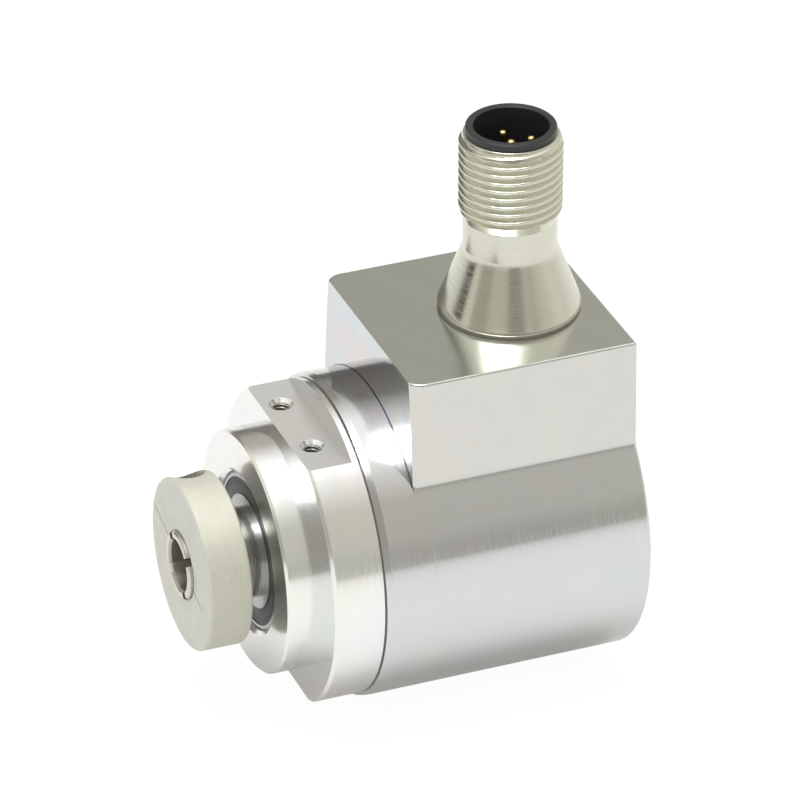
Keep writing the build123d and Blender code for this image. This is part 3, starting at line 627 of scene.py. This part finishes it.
plugLook = {
    "footBottom": 26.6, "footTop": 27.0, "footRadius": 8.35, "footStep": 0.03, "edge": 0.05,
    "coneTop": 34.3, "coneRows": 12, "neckRadius": 5.46, "neckTop": 38.1, "neckRows": 8,
    "threadFull": 39.5, "threadEnd": 47.8, "threadRadius": 6.0, "threadDepth": 0.59, "pitch": 1.0,
    "start": 38.55, "fade": 0.8, "crest": 0.84, "root": 0.08, "rowsPerPitch": 22, "columns": 340,
    "rim": 48.8, "rimRadius": 5.45, "rimStep": 0.02, "boreRadius": 4.81, "boreMiddle": 40.0,
    "spigotRadius": 5.8, "bottom": 20.3, "sharpAngle": 50,
}


# The plug's metal body: a profile turned about the upright axis, with the thread cut into it.
# Radius at (turn, z) = the smaller of the turned envelope and
# thread radius - depth * threadDepth(z / pitch - turn / one full turn), faded in above the neck.
def makePlugBody():
    p = plugLook
    rows = int((p["rim"] - p["neckTop"]) * p["rowsPerPitch"])
    threadRows = np.linspace(p["neckTop"], p["rim"] - p["rimStep"], rows)
    envelope = np.interp(threadRows, [p["neckTop"], p["threadFull"], p["threadEnd"], p["rim"]],
                         [p["neckRadius"], p["threadRadius"], p["threadRadius"], p["rimRadius"]])
    coneZ = np.linspace(p["footTop"] + p["edge"], p["coneTop"], p["coneRows"])
    coneR = np.interp(coneZ, [p["footTop"], p["coneTop"]], [p["footRadius"], p["neckRadius"]])
    neckZ = np.linspace(p["coneTop"] + 0.15, p["neckTop"] - 0.1, p["neckRows"])
    outer = [(p["footRadius"] - p["edge"], p["footBottom"]), (p["footRadius"], p["footBottom"] + p["edge"]),
             (p["footRadius"], p["footTop"] - p["footStep"])]
    outer += list(zip(coneR, coneZ))
    outer += [(p["neckRadius"], z) for z in neckZ]
    inner = [(p["rimRadius"] - p["edge"], p["rim"]), (p["boreRadius"], p["rim"]),
             (p["boreRadius"], p["boreMiddle"]), (p["boreRadius"], p["bottom"]),
             (p["spigotRadius"], p["bottom"]), (p["spigotRadius"], p["footBottom"])]
    radius = np.array([r for r, z in outer] + list(envelope) + [r for r, z in inner])
    height = np.array([z for r, z in outer] + list(threadRows) + [z for r, z in inner])
    isThread = np.zeros(len(radius), bool)
    isThread[len(outer):len(outer) + len(threadRows)] = True
    turn = np.linspace(0, 2 * np.pi, p["columns"], endpoint=False)
    depth = threadDepth(threadPhase(height, p["pitch"], turn), p["crest"], p["root"])
    fade = np.clip((height - p["start"]) / p["fade"], 0.0, 1.0)[:, None]
    cut = p["threadRadius"] - p["threadDepth"] * depth * fade
    surface = np.where(isThread[:, None], np.minimum(radius[:, None], cut), radius[:, None])
    points = np.stack([surface * np.cos(turn), surface * np.sin(turn) + plugCentre[1] / mm,
                       np.broadcast_to(height[:, None], surface.shape)], axis=-1) * mm
    thing = ringMesh("plugBodyThreaded", points)
    thing.data.set_sharp_from_angle(angle=np.radians(p["sharpAngle"]))
    thing.data.materials.append(materials["plug"])
    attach(thing, "housing")
    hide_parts("plug_body")


makePlugBody()
print("plug body threaded")

tapLook = {
    "spacing": 10.1, "y": 2.35, "flat": 15.7, "outer": 1.024, "clear": 0.02, "inner": 0.90, "pitch": 0.45,
    "crest": 0.8, "root": 0.25, "depth": 3.9, "sink": 0.44, "rowsPerPitch": 12, "columns": 48,
    "sharpAngle": 45,
}


# Thread inside one tapped hole: a sleeve whose inner radius is
# outer - clear - (outer - inner) * (1 - threadDepth(z / pitch - turn / one full turn)).
# The holes in the lower flat are the upper ones mirrored, with the columns reversed to face outwards.
def makeTapThread(name, x, side):
    t = tapLook
    rows = int((t["depth"] - t["sink"]) / t["pitch"] * t["rowsPerPitch"])
    z = np.linspace(t["flat"] - t["sink"], t["flat"] - t["depth"], rows)
    turn = np.linspace(0, 2 * np.pi, t["columns"], endpoint=False)
    raised = 1.0 - threadDepth(threadPhase(z, t["pitch"], turn), t["crest"], t["root"])
    inner = t["outer"] - t["clear"] - (t["outer"] - t["inner"]) * raised
    shell = np.full((2, len(turn)), t["outer"])
    radius = np.concatenate([inner, shell])
    height = np.concatenate([z, [z[-1], z[0]]])[:, None] * np.ones_like(radius)
    points = np.stack([x + radius * np.cos(turn), t["y"] + radius * np.sin(turn), height], axis=-1) * mm
    if side < 0:
        points = points * np.array([1.0, 1.0, -1.0])
        points = points[:, ::-1]
    thing = ringMesh(name, points[::-1])
    thing.data.set_sharp_from_angle(angle=np.radians(t["sharpAngle"]))
    thing.data.materials.append(materials["tap"])
    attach(thing, "housing")


for tapIndex, (tapX, tapSide) in enumerate(((-1, 1), (1, 1), (-1, -1), (1, -1))):
    makeTapThread("tapThread%d" % (tapIndex + 1), tapX * tapLook["spacing"] / 2, tapSide)
print("tapped holes threaded")


stageLook = {
    "floorZ": -19.25 * mm, "floorSize": 4.0, "floorColour": (0.66, 0.67, 0.69), "rough": 0.9, "gloss": 0.1,
    "grain": 40.0, "grainShade": 0.99, "glow": (0.215, 0.205, 0.190), "whiteShare": 0.90, "white": 1.04,
}

# Brightness of the studio's walls near the floor and half way up, by azimuth in degrees from +X
# towards +Y: white screens with dark gaps between them, which the turned metal mirrors as bands.
wallLow = [
    (-180, 0.16), (-160, 0.20), (-150, 0.30), (-138, 0.60), (-128, 0.42), (-118, 0.05), (-104, 0.05),
    (-98, 0.76), (-88, 0.82), (-84, 0.45), (-62, 0.42), (-52, 0.66), (-27, 0.76), (-21, 0.33),
    (-2, 0.33), (6, 0.68), (14, 0.59), (20, 0.46), (28, 0.66), (45, 0.72), (60, 0.87),
    (75, 0.87), (110, 0.84), (132, 0.75), (148, 0.35), (158, 0.17), (180, 0.15),
]
wallHigh = [
    (-180, 0.28), (-165, 0.20), (-150, 0.40), (-135, 0.90), (-120, 0.95), (-95, 0.90), (-85, 0.50),
    (-70, 0.44), (-50, 0.55), (-20, 0.36), (0, 0.42), (20, 0.63), (45, 0.66), (60, 0.74),
    (90, 0.80), (120, 0.80), (140, 0.60), (158, 0.49), (170, 0.35), (180, 0.28),
]
# For each azimuth, the elevations in degrees where the overhead screen starts and where it is full.
overheadEdge = [
    (-180, 44, 72), (-130, 44, 72), (-105, 36, 56), (-70, 40, 60), (-48, 44, 64), (-32, 66, 86),
    (5, 66, 88), (25, 44, 86), (60, 40, 86), (85, 38, 74), (100, 36, 62), (140, 36, 62),
    (165, 40, 66), (180, 44, 72),
]
skyLook = {"wallTint": (1.0, 0.975, 0.87), "low": (6.0, 22.0), "overhead": (1.30, 1.30, 1.28)}


# Floor that is shaded by the object where the metal mirrors it, and close to white for the camera.
def makeFloor():
    look = stageLook
    side, z = look["floorSize"], look["floorZ"]
    mesh = bpy.data.meshes.new("studioFloor")
    corners = [(-side, -side, z), (side, -side, z), (side, side, z), (-side, side, z)]
    mesh.from_pydata(corners, [], [(0, 1, 2, 3)])
    thing = addObject("studioFloor", mesh)
    material, tree, shader, coords = newMaterial("paleFloor")
    grain = noiseNode(tree, coords, look["grain"], 3.0, 0.5)
    pale = look["floorColour"]
    duller = tuple(part * look["grainShade"] for part in pale)
    tree.links.new(mixColour(tree, grain, duller, pale), shader.inputs["Base Color"])
    shader.inputs["Roughness"].default_value = look["rough"]
    shader.inputs["Specular IOR Level"].default_value = look["gloss"]
    shader.inputs["Emission Color"].default_value = (*look["glow"], 1.0)
    shader.inputs["Emission Strength"].default_value = 1.0
    glow = newNode(tree, "ShaderNodeEmission", Strength=look["white"])
    path = newNode(tree, "ShaderNodeLightPath")
    share = mathNode(tree, "MULTIPLY", path.outputs["Is Camera Ray"], look["whiteShare"])
    blend = newNode(tree, "ShaderNodeMixShader")
    tree.links.new(share, blend.inputs[0])
    tree.links.new(shader.outputs["BSDF"], blend.inputs[1])
    tree.links.new(glow.outputs[0], blend.inputs[2])
    output = [node for node in tree.nodes if node.type == "OUTPUT_MATERIAL"][0]
    tree.links.new(blend.outputs[0], output.inputs["Surface"])
    thing.data.materials.append(material)


# World light as a function of direction: two rings of wall brightness by azimuth, blended upwards
# into an even overhead screen.
def makeSky():
    world = bpy.data.worlds.new("studioSky")
    bpy.context.scene.world = world
    world.use_nodes = True
    tree = world.node_tree
    tree.nodes.clear()
    direction = newNode(tree, "ShaderNodeTexCoord").outputs["Generated"]
    x, y, z = splitPoint(tree, direction)
    elevation = mathNode(tree, "MULTIPLY", mathNode(tree, "ARCSINE", z), 180.0 / np.pi)
    turn = mathNode(tree, "MULTIPLY_ADD", mathNode(tree, "ARCTAN2", y, x), 0.5 / np.pi, 0.5)
    tint = skyLook["wallTint"]
    rings = []
    for wall in (wallLow, wallHigh):
        stops = [((azimuth + 180.0) / 360.0, tuple(value * part for part in tint)) for azimuth, value in wall]
        rings.append(rampNode(tree, turn, stops))
    walls = mixColour(tree, mapRange(tree, elevation, *skyLook["low"]), rings[0], rings[1])
    edges = rampNode(tree, turn, [((azimuth + 180.0) / 360.0, (start / 90.0, end / 90.0, 0.0))
                                  for azimuth, start, end in overheadEdge])
    edge = newNode(tree, "ShaderNodeSeparateColor")
    tree.links.new(edges, edge.inputs[0])
    start, end = (mathNode(tree, "MULTIPLY", edge.outputs[channel], 90.0) for channel in (0, 1))
    over = mathNode(tree, "DIVIDE", mathNode(tree, "SUBTRACT", elevation, start),
                    mathNode(tree, "SUBTRACT", end, start), clamp=True)
    sky = mixColour(tree, over, walls, skyLook["overhead"])
    light = newNode(tree, "ShaderNodeBackground", Strength=1.0)
    output = newNode(tree, "ShaderNodeOutputWorld")
    tree.links.new(sky, light.inputs["Color"])
    tree.links.new(light.outputs[0], output.inputs["Surface"])


# Matrix of a thing at a place that looks back along its own Z.
def lookMatrix(right, up, back, place):
    rows = [(right[i], up[i], back[i], place[i]) for i in range(3)]
    return Matrix(rows + [(0, 0, 0, 1)])


lampLook = {"place": (0.06, -0.08, 0.80), "target": (0.0, 0.012, 0.01), "size": 0.45, "power": 4.0}


# One square soft light, nearly overhead: right = up of the world x back, up = back x right.
def makeLamp():
    look = lampLook
    data = bpy.data.lights.new("softTop", "AREA")
    data.shape = "RECTANGLE"
    data.size = data.size_y = look["size"]
    data.energy = look["power"]
    lamp = addObject("softTop", data)
    back = np.array(look["place"]) - np.array(look["target"])
    back /= np.linalg.norm(back)
    right = np.cross((0, 0, 1), back)
    right /= np.linalg.norm(right)
    lamp.matrix_world = lookMatrix(right, np.cross(back, right), back, look["place"])


makeFloor()
makeSky()
makeLamp()
bpy.context.scene.view_settings.view_transform = "Standard"

cameraLook = {
    "right": (0.3657581, 0.9307099, 0.0002173), "up": (-0.4743063, 0.1861959, 0.8604444),
    "back": (0.8007837, -0.3148176, 0.5095443), "place": (0.5551994, -0.2031139, 0.369529),
    "lens": 270.0, "sensor": 36.0, "near": 0.05, "far": 20.0,
}


# Camera at the photograph's angle, with a long lens.
def makeCamera():
    look = cameraLook
    data = bpy.data.cameras.new("camera")
    data.lens = look["lens"]
    data.sensor_width = look["sensor"]
    data.sensor_fit = "HORIZONTAL"
    data.clip_start = look["near"]
    data.clip_end = look["far"]
    camera = addObject("camera", data)
    camera.matrix_world = lookMatrix(look["right"], look["up"], look["back"], look["place"])
    bpy.context.scene.camera = camera


makeCamera()
print("stage, light and camera placed")
